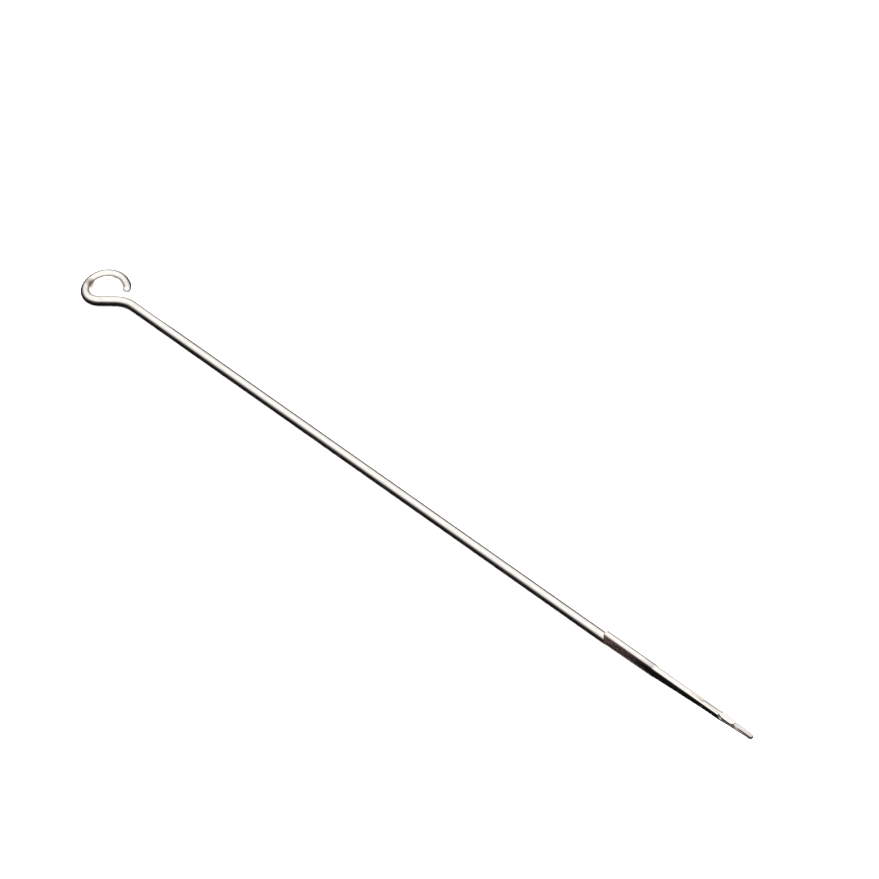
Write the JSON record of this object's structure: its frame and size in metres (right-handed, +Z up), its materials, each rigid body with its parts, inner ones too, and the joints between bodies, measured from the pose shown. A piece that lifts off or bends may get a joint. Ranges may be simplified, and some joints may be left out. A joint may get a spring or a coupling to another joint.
{
  "type": "latch needle threader",
  "caption": "Straight wire threader with an open ring handle and a riveted latch needle brazed to its tip, for pulling thread or cord through.",
  "frame": {"origin": "middle of the ring handle's opening, in the plane of the wire", "axes": "+X along the shaft from the ring to the hook; +Z up, the way the hook's latch opens, with the ring lying flat in XY"},
  "size_m": [0.185, 0.0099, 0.003],
  "materials": {
    "shaft_wire": "bright nickel plate over drawn steel wire",
    "needle_steel": "polished nickel plated needle steel",
    "braze": "plated copper braze, warm tint",
    "rivet_steel": "peened flush and polished",
    "latch_steel": "polished"
  },
  "bodies": {
    "threader": {"wire_shaft": "shaft_wire", "needle_blade": "needle_steel", "braze_seam": "braze", "latch_rivet": "rivet_steel"},
    "latch": {"latch": "latch_steel"}
  },
  "joints": [
    {"name": "latch_hinge", "type": "hinge", "parent": "threader", "child": "latch", "pos_m": [0.1673, 0, 0.00117], "axis": [0, -1, 0], "range_deg": [0, 165]}
  ]
}
